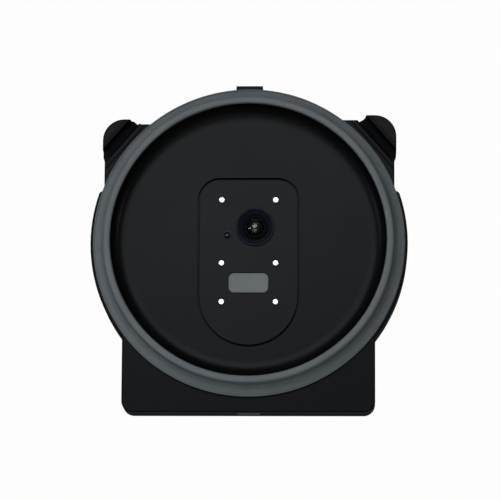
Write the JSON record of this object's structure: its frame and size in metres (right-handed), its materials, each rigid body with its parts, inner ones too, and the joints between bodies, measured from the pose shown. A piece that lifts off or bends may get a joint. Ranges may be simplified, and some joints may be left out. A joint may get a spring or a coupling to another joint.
{
  "type": "guide camera",
  "caption": "Guide camera built into a round gasketed cover with two ears, a square skirt and a screwed plate round its lens.",
  "frame": {"origin": "middle of the cover's flat outer face, on the surface it lies on", "axes": "+Z is the way the camera looks, +Y runs from the square skirt to the top hook, +X is to the right"},
  "size_m": [0.25, 0.2606, 0.0443],
  "materials": {
    "shell_black": "fine spark-eroded moulded black plastic",
    "dish_black": "satin moulded black plastic",
    "plate_black": "satin moulded black plastic",
    "gasket_grey": "matt grey silicone rubber",
    "button_grey": "matt grey silicone rubber",
    "seal_black": "black foam rubber",
    "screw_steel": "bright zinc-plated steel",
    "bezel_blue_black": "glossy blue-black ring",
    "barrel_black": "black anodised aluminium",
    "lens_glass": "coated optical glass",
    "guide_clear": "clear moulded light guide",
    "holder_black": "black moulded lens mount",
    "board_green": "solder-masked circuit board",
    "chip_black": "moulded chip package",
    "shield_steel": "tinned steel",
    "flex_amber": "flexible circuit film",
    "lead_red": "silicone-covered wire",
    "cell_wrap": "shrink sleeve",
    "holder_grey": "black moulded holder"
  },
  "bodies": {
    "cover": {"outer_shell": "shell_black", "rear_cover": "shell_black", "rear_cover_screws": "screw_steel", "inner_dish": "dish_black", "dish_screws": "screw_steel", "drum_gasket": "gasket_grey", "camera_plate": "plate_black", "plate_seal": "seal_black", "plate_screws": "screw_steel", "module_tray": "plate_black", "lens_bezel": "bezel_blue_black", "lens_holder": "holder_black", "holder_screws": "screw_steel", "infrared_filter": "lens_glass", "image_sensor": "chip_black", "sensor_board": "board_green", "sensor_board_screws": "screw_steel", "light_guide": "guide_clear", "light_sensor_chip": "chip_black", "main_board": "board_green", "main_board_screws": "screw_steel", "button_switch": "chip_black", "processor_chip": "chip_black", "memory_chip": "chip_black", "wireless_module": "shield_steel", "sensor_flex": "flex_amber", "battery_holder_left": "holder_grey", "battery_holder_right": "holder_grey", "battery_cell_left": "cell_wrap", "battery_cell_right": "cell_wrap", "battery_contacts": "shield_steel", "battery_leads": "lead_red", "usb_board": "board_green", "usb_board_screws": "screw_steel", "usb_port": "shield_steel", "usb_ribbon": "lead_red"},
    "lens_group": {"front_lens": "lens_glass", "middle_lens": "lens_glass", "rear_lens": "lens_glass", "lens_spacer": "barrel_black"},
    "lens_barrel": {"lens_barrel": "barrel_black", "lens_retaining_ring": "barrel_black", "lock_ring": "barrel_black"},
    "power_button": {"power_button": "button_grey", "switch_stem": "chip_black"},
    "port_plug": {"port_plug": "gasket_grey"}
  },
  "joints": [
    {"name": "focus_travel", "type": "slide", "parent": "cover", "child": "lens_group", "axis": [0, 0, 1], "range_m": [-0.00025, 0.00025]},
    {"name": "focus_turn", "type": "hinge", "parent": "lens_group", "child": "lens_barrel", "pos_m": [0.005, 0.0156, 0.02], "axis": [0, 0, 1], "range_deg": [-180, 180]},
    {"name": "button_press", "type": "slide", "parent": "cover", "child": "power_button", "axis": [0, 0, -1], "range_m": [0, 0.0008], "stiffness_N_per_m": 900},
    {"name": "plug_swing", "type": "hinge", "parent": "cover", "child": "port_plug", "pos_m": [0, -0.1294, 0.0164], "axis": [-1, 0, 0], "range_deg": [0, 100]}
  ],
  "couplings": [
    {"joint": "focus_turn", "follows": "focus_travel", "rad_per_m": 12566}
  ]
}
